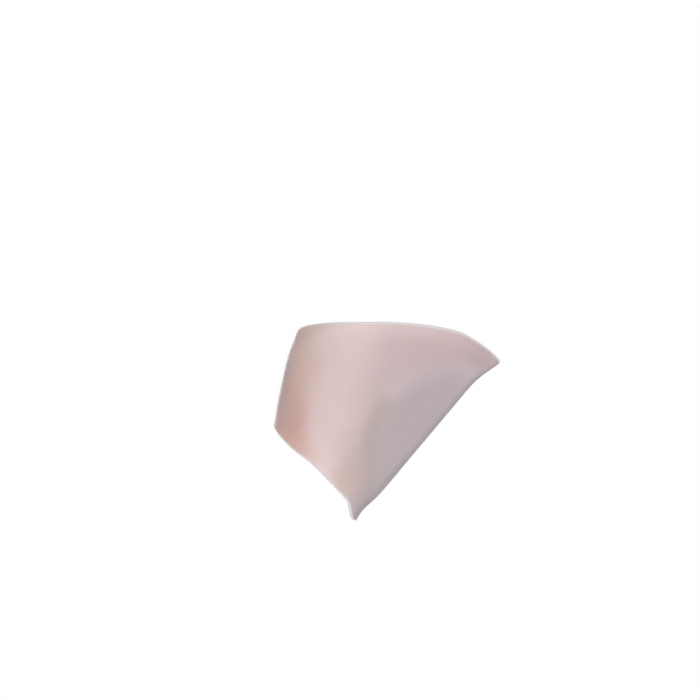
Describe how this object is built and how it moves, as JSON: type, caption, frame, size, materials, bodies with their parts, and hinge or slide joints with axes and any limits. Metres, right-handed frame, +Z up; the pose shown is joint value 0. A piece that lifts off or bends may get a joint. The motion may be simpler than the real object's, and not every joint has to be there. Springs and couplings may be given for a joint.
{
  "type": "gel arch support",
  "caption": "Soft translucent gel sleeve for the middle of a foot, open front and rear, with a thick moulded pad inside that fills the hollow of the arch.",
  "frame": {"origin": "middle of the hollow that the foot goes through, 34 mm above the flat underside of the arch pad", "axes": "+X along the sole towards the heel and the rear opening, -Y to the inner (arch) side with the pad, +Z up on a standing foot"},
  "size_m": [0.0971, 0.0792, 0.0785],
  "materials": {
    "gel": "frosted translucent gel, satin"
  },
  "bodies": {
    "root": {"gel_sleeve": "gel"}
  },
  "joints": []
}
